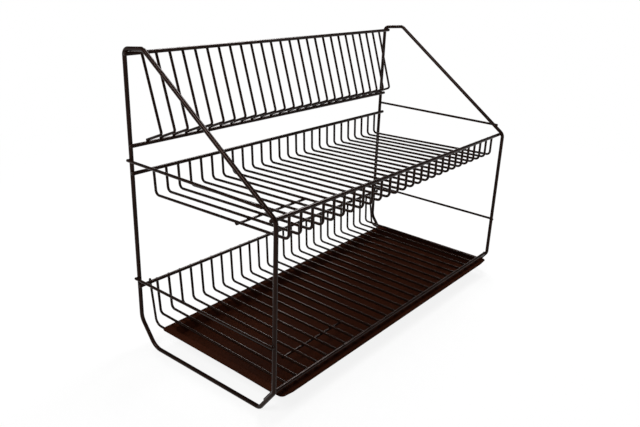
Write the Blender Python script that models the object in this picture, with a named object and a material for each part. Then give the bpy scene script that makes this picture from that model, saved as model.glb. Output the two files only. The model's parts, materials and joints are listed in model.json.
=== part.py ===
"""Two-tier dish rack: a welded wire stand with a plate rack, two wire baskets and a drip tray.

All sizes are in metres. X runs across the rack, Y from the front to the rear and Z up from the
surface that the rack stands on. Places along Y are measured from the centre line of the front
posts, and one empty carries every piece, so that the middle of the whole object lies on X = Y = 0.
Two bent side frames carry straight rails, and the baskets' and the plate rack's wires are welded
to the rails. The drip tray lies on two runners by its lip and slides out forwards.
"""

import math

import bmesh
import bpy
from mathutils import Matrix, Vector

# Wires and clearances
GAP = 0.0003                        # air between two pieces that touch
WELD_BITE = 0.0004                  # how far a basket wire sinks into the rail it is fused to
FRAME_RADIUS = 0.00225
RAIL_RADIUS = 0.002
SIDE_RAIL_RADIUS = 0.0015
WIRE_RADIUS = 0.00125

# Side frames, by the corners of their centre lines
FRAME_SPACING = 0.500               # between the centre planes of the two frames
FRAME_DEPTH = 0.2239                # from the front posts to the rear posts
TOP_REAR_HEIGHT = 0.3622
TOP_FRONT_HEIGHT = 0.3652
TOP_RUN = 0.0328
FRONT_BEND_HEIGHT = 0.2246
REAR_KINK_HEIGHT = 0.0348
FRONT_KINK_HEIGHT = 0.0308
REAR_FOOT_SET_BACK = 0.0244
FRONT_FOOT_SET_BACK = 0.0209
TOP_REAR_BEND = 0.007
TOP_FRONT_BEND = 0.009
FRONT_BEND = 0.010
FRONT_KINK_BEND = 0.008
FRONT_FOOT_BEND = 0.008
REAR_KINK_BEND = 0.020
REAR_FOOT_BEND = 0.020

# Rails across the rack
RAIL_OVERRUN = 0.0025               # past the outer face of a frame
UPPER_FRONT_RAIL_OVERRUN = 0.0005
TOP_RAIL_SEAT_ANGLE = math.radians(45)
FRONT_RAIL_SEAT_ANGLE = math.radians(43)
PLATE_RAIL_HEIGHT = 0.2557
UPPER_REAR_RAIL_HEIGHT = 0.2236
LOWER_REAR_RAIL_HEIGHT = 0.0809
LOWER_FRONT_RAIL_HEIGHT = 0.0288
LOWER_FRONT_RAIL_SET_BACK = 0.003

# Side rails, heights at the two posts
UPPER_SIDE_REAR_HEIGHT = 0.2382
UPPER_SIDE_FRONT_HEIGHT = 0.2357
LOWER_SIDE_REAR_HEIGHT = 0.0893
LOWER_SIDE_FRONT_HEIGHT = 0.0872
SIDE_RAIL_REAR_OVERRUN = 0.0035     # past the rear post's centre line
SIDE_RAIL_FRONT_OVERRUN = 0.0015    # past the centre line of the run that it is welded to

# Plate rack wires
WIRE_COUNT = 26
PLATE_ROW_INSET = 0.02075           # from a frame's centre plane to the row's outer wire
PLATE_ROW_SHIFT = 0.0004            # of the whole row to the right
PLATE_ROW_BOW = 0.0042              # further shift of the middle wires
PLATE_APEX_REACH = 0.0252           # forward of the plate rail
PLATE_APEX_RISE = 0.0140            # above the plate rail
PLATE_APEX_BEND = 0.0035
PLATE_TOP_OVERRUN = 0.0008
PLATE_FOOT_OVERRUN = 0.0022

# Upper basket wires
UPPER_ROW_INSET = 0.0229
UPPER_ROW_SHIFT = 0.0066
UPPER_FLOOR_FRONT_HEIGHT = 0.1944
UPPER_FLOOR_REAR_HEIGHT = 0.1896
UPPER_FRONT_TOP_RISE = 0.0004       # above the centre of the front rail
BASKET_BEND = 0.0055
TIE_WIRE_SET_BACK = 0.0852
TIE_WIRE_LAST = 6                   # the last wire that the tie wire runs under
TIE_WIRE_LEFT_OVERRUN = 0.001
TIE_WIRE_RIGHT_OVERRUN = 0.0075

# Lower basket wires
LOWER_ROW_INSET = 0.02525
LOWER_FLOOR_FRONT_HEIGHT = 0.0276
LOWER_FLOOR_REAR_HEIGHT = 0.0306
LOWER_TIE_SET_BACK = 0.044
LOWER_TIE_FIRST = 2                 # the first and last wires that the lower tie wire runs under
LOWER_TIE_LAST = 8
LOWER_TIE_LEFT_OVERRUN = 0.0005
LOWER_TIE_RIGHT_OVERRUN = 0.0085

# Tray runners
RUNNER_REAR_INSET = 0.0145          # from a frame's centre plane
RUNNER_FRONT_INSET = 0.0115
RUNNER_TOP_RISE = 0.0037            # past the lower rear rail
RUNNER_LEAN = 0.0085                # of the upright towards the front, at its foot
RUNNER_REAR_BEND = 0.010
RUNNER_JOG_LEAD = 0.0016            # the step outwards starts this far behind the hook
RUNNER_HOOK_BEND = 0.003
RUNNER_HOOK_LENGTH = 0.0095
RUNNER_HOOK_ANGLE = math.radians(45)    # round a frame's slant, from behind it to its inner side

# Drip tray
TRAY_LENGTH = 0.202
TRAY_DEPTH = 0.0135
TRAY_FRONT_OVERHANG = 0.0042
TRAY_THICKNESS = 0.0014
TRAY_SIDE_CLEARANCE = 0.00625       # to the inner faces of the side frames
TRAY_HEAD_CLEARANCE = 0.0006        # under the lower basket's tie wire
TRAY_WALL_CLEARANCE = 0.001         # to the inner faces of the runners
TRAY_DRAFT = 0.005
TRAY_LIP_CORNER = 0.006
TRAY_WALL_CORNER = 0.012
TRAY_FLOOR_ROUND = 0.003
PULL_EDGE_DROP = 0.0016             # below the lip
PULL_EDGE_INSET = 0.010             # from the tray's side edges
PULL_EDGE_TAPER = 0.004             # how much shorter its lower edge is at each end

# Facets
FRAME_SIDES = 12
RAIL_SIDES = 12
SIDE_RAIL_SIDES = 10
WIRE_SIDES = 6
FRAME_BEND_STEPS = 4
WIRE_BEND_STEPS = 3
TRAY_CORNER_STEPS = 5
RAIL_END_ANGLES = (30, 60, 90)
WIRE_END_ANGLES = (35, 90)
SMOOTH_ANGLE = math.radians(40)

# Places worked out from the sizes above
HALF_SPACING = FRAME_SPACING / 2
FOOT_HEIGHT = FRAME_RADIUS * math.cos(math.pi / FRAME_SIDES)
REAR_RAIL_Y = FRAME_DEPTH - FRAME_RADIUS - RAIL_RADIUS - GAP
FUSED_SPACING = RAIL_RADIUS + WIRE_RADIUS - WELD_BITE
TOUCH_SPACING = RAIL_RADIUS + WIRE_RADIUS + GAP
SIDE_RAIL_X = HALF_SPACING + FRAME_RADIUS + SIDE_RAIL_RADIUS + GAP
RAIL_HALF_LENGTH = HALF_SPACING + FRAME_RADIUS + RAIL_OVERRUN
BASKET_REAR_Y = REAR_RAIL_Y + FUSED_SPACING
LOWER_FLOOR_FRONT_Y = LOWER_FRONT_RAIL_SET_BACK + RAIL_RADIUS + GAP
LOWER_FLOOR_RISE = LOWER_FLOOR_REAR_HEIGHT - LOWER_FLOOR_FRONT_HEIGHT
TILT = math.atan(LOWER_FLOOR_RISE / (BASKET_REAR_Y - LOWER_FLOOR_FRONT_Y))
TIE_WIRE_DROP = 2 * WIRE_RADIUS + GAP
TRAY_DROP = TIE_WIRE_DROP + WIRE_RADIUS + TRAY_HEAD_CLEARANCE
RUNNER_DROP = TRAY_DROP + TRAY_THICKNESS + GAP + WIRE_RADIUS
RUNNER_REAR_X = HALF_SPACING - RUNNER_REAR_INSET
RUNNER_FRONT_X = HALF_SPACING - RUNNER_FRONT_INSET
HOOK_SPACING = FRAME_RADIUS + WIRE_RADIUS + GAP
HOOK_X = HALF_SPACING - HOOK_SPACING * math.sin(RUNNER_HOOK_ANGLE)
TRAY_HALF_WIDTH = HALF_SPACING - FRAME_RADIUS - TRAY_SIDE_CLEARANCE
TRAY_WALL_WIDTH = RUNNER_REAR_X - WIRE_RADIUS - TRAY_WALL_CLEARANCE
MIDDLE_Y = (FRAME_DEPTH + SIDE_RAIL_REAR_OVERRUN - TRAY_FRONT_OVERHANG) / 2

FRAME_CORNERS = (
    ((FRAME_DEPTH - REAR_FOOT_SET_BACK, FOOT_HEIGHT), REAR_FOOT_BEND),
    ((FRAME_DEPTH, REAR_KINK_HEIGHT), REAR_KINK_BEND),
    ((FRAME_DEPTH, TOP_REAR_HEIGHT), TOP_REAR_BEND),
    ((FRAME_DEPTH - TOP_RUN, TOP_FRONT_HEIGHT), TOP_FRONT_BEND),
    ((0, FRONT_BEND_HEIGHT), FRONT_BEND),
    ((0, FRONT_KINK_HEIGHT), FRONT_KINK_BEND),
    ((FRONT_FOOT_SET_BACK, FOOT_HEIGHT), FRONT_FOOT_BEND),
)


def bend_centre(before, corner, after, radius):
    """The centre of the arc that rounds a corner, and half the angle that the wire turns there."""
    to_before = (before - corner).normalized()
    to_after = (after - corner).normalized()
    half_turn = (math.pi - to_before.angle(to_after)) / 2
    inward = (to_before + to_after).normalized()
    return corner + inward * radius / math.cos(half_turn), half_turn


def bent_path(corners, closed, steps):
    """Points along straight runs between corners, with an arc of the given radius at each one."""
    places = [Vector(place) for place, _ in corners]
    points = []
    for index, (_, radius) in enumerate(corners):
        corner = places[index]
        is_end = not closed and index in (0, len(corners) - 1)
        if is_end or not radius:
            points.append(corner)
            continue
        before = places[index - 1]
        after = places[(index + 1) % len(places)]
        centre, half_turn = bend_centre(before, corner, after, radius)
        reach = radius * math.tan(half_turn)
        first = corner + (before - corner).normalized() * reach - centre
        last = corner + (after - corner).normalized() * reach - centre
        for step in range(steps + 1):
            angle = 2 * half_turn * step / steps
            along = math.sin(2 * half_turn - angle) * first + math.sin(angle) * last
            points.append(centre + along / math.sin(2 * half_turn))
    return points


def rounded_ends(points, radius, end_angles):
    """The path with extra points near both ends, each with the share of the radius it has there."""
    first, second = points[0], points[1]
    last, before_last = points[-1], points[-2]
    start = (second - first).normalized()
    stop = (before_last - last).normalized()
    head, tail = [], []
    for degrees in end_angles:
        angle = math.radians(degrees)
        inset = radius * (1 - math.cos(angle))
        head.append((first + start * inset, math.sin(angle)))
        tail.append((last + stop * inset, math.sin(angle)))
    middle = [(point, 1) for point in points[1:-1]]
    return head + middle + tail[::-1]


def wire_curve(name, paths, radius, sides, end_angles=None, turned=False):
    """A curve that sweeps a regular polygon along each path; open paths get rounded ends."""
    curve = bpy.data.curves.new(name, "CURVE")
    curve.dimensions = "3D"
    curve.bevel_depth = radius
    curve.bevel_resolution = sides // 2 - 2
    curve.use_fill_caps = True
    for path in paths:
        rings = rounded_ends(path, radius, end_angles) if end_angles else [(p, 1) for p in path]
        spline = curve.splines.new("POLY")
        spline.points.add(len(rings) - 1)
        for point, (place, share) in zip(spline.points, rings):
            point.co = (*place, 1)
            point.radius = share
            point.tilt = math.pi / sides if turned else 0
        spline.use_cyclic_u = not end_angles
    return curve


def material(name, colour, roughness):
    """A Principled material without metal, in one colour."""
    made = bpy.data.materials.new(name)
    made.use_nodes = True
    shader = made.node_tree.nodes["Principled BSDF"]
    shader.inputs["Base Color"].default_value = (*colour, 1)
    shader.inputs["Roughness"].default_value = roughness
    shader.inputs["Metallic"].default_value = 0
    return made


def place(name, data, made_of, parent, location=(0, 0, 0)):
    """Puts a piece into the scene under the empty that carries the rack."""
    piece = bpy.data.objects.new(name, data)
    bpy.context.collection.objects.link(piece)
    if not data.materials:
        data.materials.append(made_of)
    piece.parent = parent
    piece.location = location
    return piece


def evaluated_mesh(piece):
    """A plain mesh of a piece as its modifiers leave it."""
    bpy.context.view_layer.update()
    graph = bpy.context.evaluated_depsgraph_get()
    return bpy.data.meshes.new_from_object(piece.evaluated_get(graph))


def frame_point(corner_index):
    """A corner of the side frames as a point in the plane X = 0."""
    y, z = FRAME_CORNERS[corner_index][0]
    return Vector((0, y, z))


def seat_in_bend(corner_index, angle):
    """Where a rail lies against the inside of a frame's bend, in the direction of the angle."""
    before = frame_point(corner_index - 1)
    corner = frame_point(corner_index)
    after = frame_point(corner_index + 1)
    radius = FRAME_CORNERS[corner_index][1]
    centre, _ = bend_centre(before, corner, after, radius)
    reach = radius - FRAME_RADIUS - RAIL_RADIUS - GAP
    side = 1 if corner.y > centre.y else -1
    return centre + Vector((0, side * math.cos(angle), math.sin(angle))) * reach


def straight(start, stop):
    """A path with two points."""
    return [Vector(start), Vector(stop)]


def cross_rail(name, y, z, half_length, made_of, parent):
    """A straight rail across the rack with rounded ends."""
    path = straight((-half_length, y, z), (half_length, y, z))
    curve = wire_curve(name, [path], RAIL_RADIUS, RAIL_SIDES, RAIL_END_ANGLES)
    return place(name, curve, made_of, parent)


def tangent_point(start, centre, radius, side):
    """Where a straight line from a point touches a circle in the YZ plane, on the given side."""
    across = centre - start
    swing = side * math.asin(radius / across.length)
    along = math.sqrt(across.length ** 2 - radius ** 2)
    direction = across.normalized()
    y = direction.y * math.cos(swing) - direction.z * math.sin(swing)
    z = direction.y * math.sin(swing) + direction.z * math.cos(swing)
    return start + Vector((0, y, z)) * along, Vector((0, y, z))


def side_frames(made_of, parent):
    """Two closed loops of bent wire, each with a foot run, two posts, a slope and a top run."""
    corners = [((0, y, z), radius) for (y, z), radius in FRAME_CORNERS]
    path = bent_path(corners, True, FRAME_BEND_STEPS)
    curve = wire_curve("side_frame", [path], FRAME_RADIUS, FRAME_SIDES, turned=True)
    place("side_frame_left", curve, made_of, parent, (-HALF_SPACING, 0, 0))
    place("side_frame_right", curve, made_of, parent, (HALF_SPACING, 0, 0))


def slope_y(height):
    """Where the frames' sloping run crosses a height."""
    run = frame_point(3) - frame_point(4)
    return run.y * (height - FRONT_BEND_HEIGHT) / run.z


def side_rails(made_of, parent):
    """Four rails on the outer faces of the frames, that close the baskets' sides."""
    levels = (
        ("upper", UPPER_SIDE_FRONT_HEIGHT, UPPER_SIDE_REAR_HEIGHT, slope_y(UPPER_SIDE_FRONT_HEIGHT)),
        ("lower", LOWER_SIDE_FRONT_HEIGHT, LOWER_SIDE_REAR_HEIGHT, 0),
    )
    for level, front_height, rear_height, seat_y in levels:
        rise = (rear_height - front_height) / FRAME_DEPTH
        front_y = seat_y - SIDE_RAIL_FRONT_OVERRUN
        rear_y = FRAME_DEPTH + SIDE_RAIL_REAR_OVERRUN
        path = straight((0, front_y, front_height + rise * front_y),
                        (0, rear_y, front_height + rise * rear_y))
        curve = wire_curve(level + "_side_rail", [path], SIDE_RAIL_RADIUS, SIDE_RAIL_SIDES,
                           RAIL_END_ANGLES)
        place(level + "_side_rail_left", curve, made_of, parent, (-SIDE_RAIL_X, 0, 0))
        place(level + "_side_rail_right", curve, made_of, parent, (SIDE_RAIL_X, 0, 0))


def wire_x(index, inset, shift=0, bow=0):
    """The place across the rack of one wire of a row that ends an inset short of the frames."""
    share = 2 * index / (WIRE_COUNT - 1) - 1
    return share * (HALF_SPACING - inset) + shift + bow * (1 - share ** 2)


def lower_floor_height(y):
    """The height of the lower basket's floor wires, which rise a little to the rear."""
    return LOWER_FLOOR_FRONT_HEIGHT + math.tan(TILT) * (y - LOWER_FLOOR_FRONT_Y)


def plate_rack(made_of, parent):
    """A rail at the top, one below it, and the bent wires between them that part the plates."""
    top = seat_in_bend(2, TOP_RAIL_SEAT_ANGLE)
    foot = Vector((0, REAR_RAIL_Y, PLATE_RAIL_HEIGHT))
    cross_rail("plate_top_rail", top.y, top.z, RAIL_HALF_LENGTH, made_of, parent)
    cross_rail("plate_lower_rail", foot.y, foot.z, RAIL_HALF_LENGTH, made_of, parent)
    apex = foot + Vector((0, -PLATE_APEX_REACH, PLATE_APEX_RISE))
    upper, up = tangent_point(apex, top, TOUCH_SPACING, -1)
    lower, down = tangent_point(apex, foot, TOUCH_SPACING, 1)
    corners = [
        (upper + up * PLATE_TOP_OVERRUN, 0),
        (apex, PLATE_APEX_BEND),
        (lower + down * PLATE_FOOT_OVERRUN, 0),
    ]
    path = bent_path(corners, False, WIRE_BEND_STEPS)
    curve = wire_curve("plate_wire", [path], WIRE_RADIUS, WIRE_SIDES, WIRE_END_ANGLES)
    for index in range(WIRE_COUNT):
        x = wire_x(index, PLATE_ROW_INSET, PLATE_ROW_SHIFT, PLATE_ROW_BOW)
        place("plate_wire_%02d" % (index + 1), curve, made_of, parent, (x, 0, 0))


def joined(first, second):
    """The mesh of two overlapping pieces as one body; both pieces are removed."""
    union = first.modifiers.new("weld", "BOOLEAN")
    union.operation = "UNION"
    union.solver = "EXACT"
    union.object = second
    mesh = evaluated_mesh(first)
    bpy.data.objects.remove(first)
    bpy.data.objects.remove(second)
    return mesh


def fused_row(name, rail_height, profile, inset, shift, made_of, parent):
    """A rear rail and the row of basket wires welded to it, joined into one body."""
    paths = []
    for index in range(WIRE_COUNT):
        across = Vector((wire_x(index, inset, shift), 0, 0))
        paths.append([across + point for point in profile])
    wires = wire_curve(name + "_row", paths, WIRE_RADIUS, WIRE_SIDES, WIRE_END_ANGLES)
    row = place(name + "_row", wires, made_of, parent)
    row_mesh = evaluated_mesh(row)
    bpy.data.objects.remove(row)
    row = place(name + "_row", row_mesh, made_of, parent)
    rail = cross_rail(name + "_rail", REAR_RAIL_Y, rail_height, RAIL_HALF_LENGTH, made_of, parent)
    rail_mesh = evaluated_mesh(rail)
    bpy.data.objects.remove(rail)
    rail = place(name + "_rail", rail_mesh, made_of, parent)
    return place(name, joined(rail, row), made_of, parent)


def tie_wire(name, start, stop, y, floor_height, made_of, parent):
    """A short wire welded across the undersides of a few floor wires."""
    z = floor_height - TIE_WIRE_DROP
    path = straight((start, y, z), (stop, y, z))
    curve = wire_curve(name, [path], WIRE_RADIUS, WIRE_SIDES, WIRE_END_ANGLES)
    place(name, curve, made_of, parent)


def upper_basket(made_of, parent):
    """A row of U-shaped wires on a rear rail, a front rail before them and a short tie wire."""
    front = seat_in_bend(4, FRONT_RAIL_SEAT_ANGLE)
    half_length = HALF_SPACING + FRAME_RADIUS + UPPER_FRONT_RAIL_OVERRUN
    cross_rail("upper_front_rail", front.y, front.z, half_length, made_of, parent)
    front_y = front.y + TOUCH_SPACING
    corners = [
        ((0, BASKET_REAR_Y, UPPER_REAR_RAIL_HEIGHT + WIRE_RADIUS), 0),
        ((0, BASKET_REAR_Y, UPPER_FLOOR_REAR_HEIGHT), BASKET_BEND),
        ((0, front_y, UPPER_FLOOR_FRONT_HEIGHT), BASKET_BEND),
        ((0, front_y, front.z + UPPER_FRONT_TOP_RISE), 0),
    ]
    profile = bent_path(corners, False, WIRE_BEND_STEPS)
    fused_row("upper_basket_wires", UPPER_REAR_RAIL_HEIGHT, profile, UPPER_ROW_INSET,
              UPPER_ROW_SHIFT, made_of, parent)
    slope = (UPPER_FLOOR_REAR_HEIGHT - UPPER_FLOOR_FRONT_HEIGHT) / (BASKET_REAR_Y - front_y)
    floor_height = UPPER_FLOOR_FRONT_HEIGHT + slope * (TIE_WIRE_SET_BACK - front_y)
    start = wire_x(0, UPPER_ROW_INSET, UPPER_ROW_SHIFT) - TIE_WIRE_LEFT_OVERRUN
    stop = wire_x(TIE_WIRE_LAST, UPPER_ROW_INSET, UPPER_ROW_SHIFT) + TIE_WIRE_RIGHT_OVERRUN
    tie_wire("upper_tie_wire", start, stop, TIE_WIRE_SET_BACK, floor_height, made_of, parent)


def lower_basket(made_of, parent):
    """A row of L-shaped wires on a rear rail, a rail at their front ends and a short tie wire."""
    between = HALF_SPACING - FRAME_RADIUS - GAP
    cross_rail("lower_front_rail", LOWER_FRONT_RAIL_SET_BACK, LOWER_FRONT_RAIL_HEIGHT, between,
               made_of, parent)
    corners = [
        ((0, BASKET_REAR_Y, LOWER_REAR_RAIL_HEIGHT + WIRE_RADIUS), 0),
        ((0, BASKET_REAR_Y, LOWER_FLOOR_REAR_HEIGHT), BASKET_BEND),
        ((0, LOWER_FLOOR_FRONT_Y, LOWER_FLOOR_FRONT_HEIGHT), 0),
    ]
    profile = bent_path(corners, False, WIRE_BEND_STEPS)
    fused_row("lower_basket_wires", LOWER_REAR_RAIL_HEIGHT, profile, LOWER_ROW_INSET, 0,
              made_of, parent)
    start = wire_x(LOWER_TIE_FIRST, LOWER_ROW_INSET) - LOWER_TIE_LEFT_OVERRUN
    stop = wire_x(LOWER_TIE_LAST, LOWER_ROW_INSET) + LOWER_TIE_RIGHT_OVERRUN
    tie_wire("lower_tie_wire", start, stop, LOWER_TIE_SET_BACK,
             lower_floor_height(LOWER_TIE_SET_BACK), made_of, parent)


def tray_runners(made_of, parent):
    """Two wires that hang from the lower rear rail, carry the tray and hook onto the front kinks."""
    rail = Vector((0, REAR_RAIL_Y, LOWER_REAR_RAIL_HEIGHT))
    foot_y = REAR_RAIL_Y + TOUCH_SPACING - RUNNER_LEAN
    foot = Vector((0, foot_y, lower_floor_height(foot_y) - RUNNER_DROP))
    seat, up = tangent_point(foot, rail, TOUCH_SPACING, -1)
    top = seat + up * RUNNER_TOP_RISE
    kink = frame_point(5)
    slant = (frame_point(6) - kink).normalized()
    inward = Vector((0, -slant.z, slant.y))
    behind = kink + inward * HOOK_SPACING * math.cos(RUNNER_HOOK_ANGLE)
    fall = behind.z - lower_floor_height(behind.y) + RUNNER_DROP
    hook = behind + slant * fall / (math.tan(TILT) * slant.y - slant.z)
    jog_y = hook.y + RUNNER_JOG_LEAD
    hook_end = hook + slant * RUNNER_HOOK_LENGTH
    for side, sign in (("left", -1), ("right", 1)):
        corners = [
            ((sign * RUNNER_REAR_X, top.y, top.z), 0),
            ((sign * RUNNER_REAR_X, foot.y, foot.z), RUNNER_REAR_BEND),
            ((sign * RUNNER_FRONT_X, jog_y, lower_floor_height(jog_y) - RUNNER_DROP),
             RUNNER_HOOK_BEND),
            ((sign * HOOK_X, hook.y, hook.z), RUNNER_HOOK_BEND),
            ((sign * HOOK_X, hook_end.y, hook_end.z), 0),
        ]
        path = bent_path(corners, False, WIRE_BEND_STEPS)
        name = "tray_runner_" + side
        curve = wire_curve(name, [path], WIRE_RADIUS, WIRE_SIDES, WIRE_END_ANGLES)
        place(name, curve, made_of, parent)


def rounded_rectangle(half_width, half_length, corner, z):
    """The points of a rectangle with round corners in a level plane, counter-clockwise."""
    points = []
    for quarter in range(4):
        across = 1 if quarter in (0, 3) else -1
        along = 1 if quarter in (0, 1) else -1
        centre = Vector((across * (half_width - corner), along * (half_length - corner), z))
        for step in range(TRAY_CORNER_STEPS + 1):
            angle = (quarter + step / TRAY_CORNER_STEPS) * math.pi / 2
            points.append(centre + Vector((math.cos(angle), math.sin(angle), 0)) * corner)
    return points


def solid_mesh(name, loops):
    """A closed mesh through a stack of loops with the same number of points."""
    shell = bmesh.new()
    rings = [[shell.verts.new(point) for point in loop] for loop in loops]
    for lower, upper in zip(rings, rings[1:]):
        for index in range(len(lower)):
            after = (index + 1) % len(lower)
            shell.faces.new((lower[index], lower[after], upper[after], upper[index]))
    shell.faces.new(rings[0][::-1])
    shell.faces.new(rings[-1])
    bmesh.ops.recalc_face_normals(shell, faces=shell.faces)
    mesh = bpy.data.meshes.new(name)
    shell.to_mesh(mesh)
    shell.free()
    return mesh


def tray_shell():
    """The tray's own level solid: flared walls, round corners and a flat lip around them."""
    lip = TRAY_HALF_WIDTH - TRAY_WALL_WIDTH
    half_length = TRAY_LENGTH / 2
    lip_bottom = -TRAY_THICKNESS
    floor_top = TRAY_THICKNESS - TRAY_DEPTH
    floor_bottom = -TRAY_DEPTH
    foot = lip + TRAY_DRAFT
    round_inset = TRAY_FLOOR_ROUND * (1 - math.cos(math.pi / 4))
    outline = (
        (foot + TRAY_FLOOR_ROUND, floor_bottom, TRAY_WALL_CORNER),
        (foot + round_inset, floor_bottom + round_inset, TRAY_WALL_CORNER),
        (foot, floor_bottom + TRAY_FLOOR_ROUND, TRAY_WALL_CORNER),
        (lip, lip_bottom, TRAY_WALL_CORNER),
        (0, lip_bottom, TRAY_LIP_CORNER),
        (0, 0, TRAY_LIP_CORNER),
        (lip + TRAY_THICKNESS, 0, TRAY_WALL_CORNER),
        (foot + TRAY_THICKNESS, floor_top + TRAY_FLOOR_ROUND, TRAY_WALL_CORNER),
        (foot + TRAY_THICKNESS + TRAY_FLOOR_ROUND, floor_top, TRAY_WALL_CORNER),
    )
    loops = []
    for inset, z, corner in outline:
        loops.append(rounded_rectangle(TRAY_HALF_WIDTH - inset, half_length - inset, corner, z))
    return solid_mesh("tray_shell", loops)


def pull_edge():
    """A strip that hangs from the front of the lip, between the runners' hooks."""
    half = TRAY_HALF_WIDTH - PULL_EDGE_INSET
    front = -TRAY_LENGTH / 2
    rear = front + TRAY_THICKNESS
    bottom = -TRAY_THICKNESS - PULL_EDGE_DROP
    top = -TRAY_THICKNESS / 2
    loops = []
    for z, end in ((bottom, half - PULL_EDGE_TAPER), (top, half)):
        corners = ((end, front), (end, rear), (-end, rear), (-end, front))
        loops.append([Vector((x, y, z)) for x, y in corners])
    return solid_mesh("pull_edge", loops)


def drip_tray(made_of, parent):
    """The loose tray, which lies by its lip on the runners and follows the floor's tilt."""
    shell = place("tray_shell", tray_shell(), made_of, parent)
    edge = place("pull_edge", pull_edge(), made_of, parent)
    mesh = joined(shell, edge)
    mesh.transform(Matrix.Rotation(TILT, 4, "X"))
    mesh.shade_smooth()
    mesh.set_sharp_from_angle(angle=SMOOTH_ANGLE)
    middle_y = math.cos(TILT) * TRAY_LENGTH / 2 - TRAY_FRONT_OVERHANG
    height = lower_floor_height(middle_y) - TRAY_DROP
    place("drip_tray", mesh, made_of, parent, (0, middle_y, height))


def main():
    """Clears the scene and models the rack."""
    for old in list(bpy.data.objects):
        bpy.data.objects.remove(old)
    coated_wire = material("coated_wire", (0.018, 0.013, 0.011), 0.35)
    tray_plastic = material("tray_plastic", (0.045, 0.018, 0.013), 0.4)
    rack = bpy.data.objects.new("rack", None)
    bpy.context.collection.objects.link(rack)
    rack.location = (0, -MIDDLE_Y, 0)
    side_frames(coated_wire, rack)
    side_rails(coated_wire, rack)
    plate_rack(coated_wire, rack)
    upper_basket(coated_wire, rack)
    lower_basket(coated_wire, rack)
    tray_runners(coated_wire, rack)
    drip_tray(tray_plastic, rack)


main()
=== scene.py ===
"""Two-tier dish rack: coated wires, their welds and a drip tray, on a pale stage.

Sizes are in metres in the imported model's frame: X across the rack, Y to its rear and Z up.
Heights are measured from the ground, and set-backs from the front posts' centre line.
"""

import json
import math

import bpy
import numpy as np
from bpy.props import FloatProperty, FloatVectorProperty, PointerProperty
from mathutils import Matrix, Vector


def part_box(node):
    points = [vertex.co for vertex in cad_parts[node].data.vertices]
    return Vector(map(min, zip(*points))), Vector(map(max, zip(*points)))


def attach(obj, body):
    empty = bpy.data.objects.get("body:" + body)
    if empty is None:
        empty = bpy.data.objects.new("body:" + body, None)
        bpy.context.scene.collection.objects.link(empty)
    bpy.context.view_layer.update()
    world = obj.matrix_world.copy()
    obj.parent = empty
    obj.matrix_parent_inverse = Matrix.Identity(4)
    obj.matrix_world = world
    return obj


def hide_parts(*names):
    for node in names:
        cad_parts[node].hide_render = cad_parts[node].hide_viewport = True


bl_info = {
    "name": "Two-tier dish rack",
    "version": (1, 0, 0),
    "blender": (4, 5, 0),
    "location": "3D View > Sidebar > Dish Rack",
    "description": "Adds the wires, welds, tray and stage of a coated wire dish rack",
    "category": "Object",
}

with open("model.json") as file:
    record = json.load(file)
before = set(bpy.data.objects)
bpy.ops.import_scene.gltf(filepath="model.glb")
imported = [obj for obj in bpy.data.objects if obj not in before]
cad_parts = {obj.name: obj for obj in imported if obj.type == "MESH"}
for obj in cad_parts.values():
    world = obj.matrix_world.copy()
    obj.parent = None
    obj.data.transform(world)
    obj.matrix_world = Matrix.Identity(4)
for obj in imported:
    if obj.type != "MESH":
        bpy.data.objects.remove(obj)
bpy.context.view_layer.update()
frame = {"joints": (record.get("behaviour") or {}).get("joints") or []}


def middle(node):
    """The middle of a node's box as an array."""
    low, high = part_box(node)
    return (np.array(low) + np.array(high)) / 2


FRAME_LOW, FRAME_HIGH = map(np.array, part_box("side_frame_left"))
FLAT_RADIUS = (FRAME_HIGH[0] - FRAME_LOW[0]) / 2
FRONT_Y = FRAME_LOW[1] + FLAT_RADIUS
FRAME_DEPTH = FRAME_HIGH[1] - FLAT_RADIUS - FRONT_Y
HALF_SPACING = middle("side_frame_right")[0]
TILT = math.atan2(-frame["joints"][0]["axis"][2], -frame["joints"][0]["axis"][1])

ACROSS, REARWARD, UP = np.eye(3)
AIR = 0.0003                        # between two welded wires, before their coating
WELD_BITE = 0.0004                  # of a basket wire into its own rail
WIRE_COUNT = 26                     # in the plate row and in each basket
REAR_RAIL_Y = middle("plate_lower_rail")[1] - FRONT_Y

# Corners of the side frames' centre line (set-back, height) and the radius of each bend
FRAME_CORNERS = np.array([
    [FRAME_DEPTH - 0.0244, FLAT_RADIUS],
    [FRAME_DEPTH, 0.0348],
    [FRAME_DEPTH, 0.3622],
    [FRAME_DEPTH - 0.0328, 0.3652],
    [0, 0.2246],
    [0, 0.0308],
    [0.0209, FLAT_RADIUS],
])
FRAME_BENDS = np.array([0.020, 0.020, 0.007, 0.009, 0.010, 0.008, 0.008])
TOP_REAR, TOP_FRONT, FRONT_BEND, FRONT_KINK, FRONT_FOOT = FRAME_CORNERS[2:]

UPPER_RAIL_HEIGHT = 0.2236
UPPER_FLOOR = (0.1944, 0.1896)      # heights at the front and the rear
UPPER_TOP_RISE = 0.0004             # of the wires' front ends over the front rail's middle
LOWER_RAIL_HEIGHT = 0.0809
LOWER_FLOOR = (0.0276, 0.0306)
BASKET_BEND = 0.0055
UPPER_INSET, UPPER_SHIFT = 0.0229, 0.0066
LOWER_INSET = 0.02525
UPPER_LEAN = np.array([-0.0012, 0.0008, 0, 0])  # sideways, of a wire's corners from the rear top
LOWER_LEAN = np.array([-0.0010, 0.0024, 0])
UPPER_TIE_WIRES = slice(0, 7)       # the floor wires that the tie wires run under
LOWER_TIE_WIRES = slice(2, 9)
PLATE_REACH, PLATE_RISE, PLATE_BEND = 0.0252, 0.0140, 0.0035
PLATE_TOP_OVERRUN, PLATE_FOOT_OVERRUN = 0.0008, 0.0022
RIGHT_RAIL_OVERRUN = 0.0025         # of the upper right side rail, past its solid's front end

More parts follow.
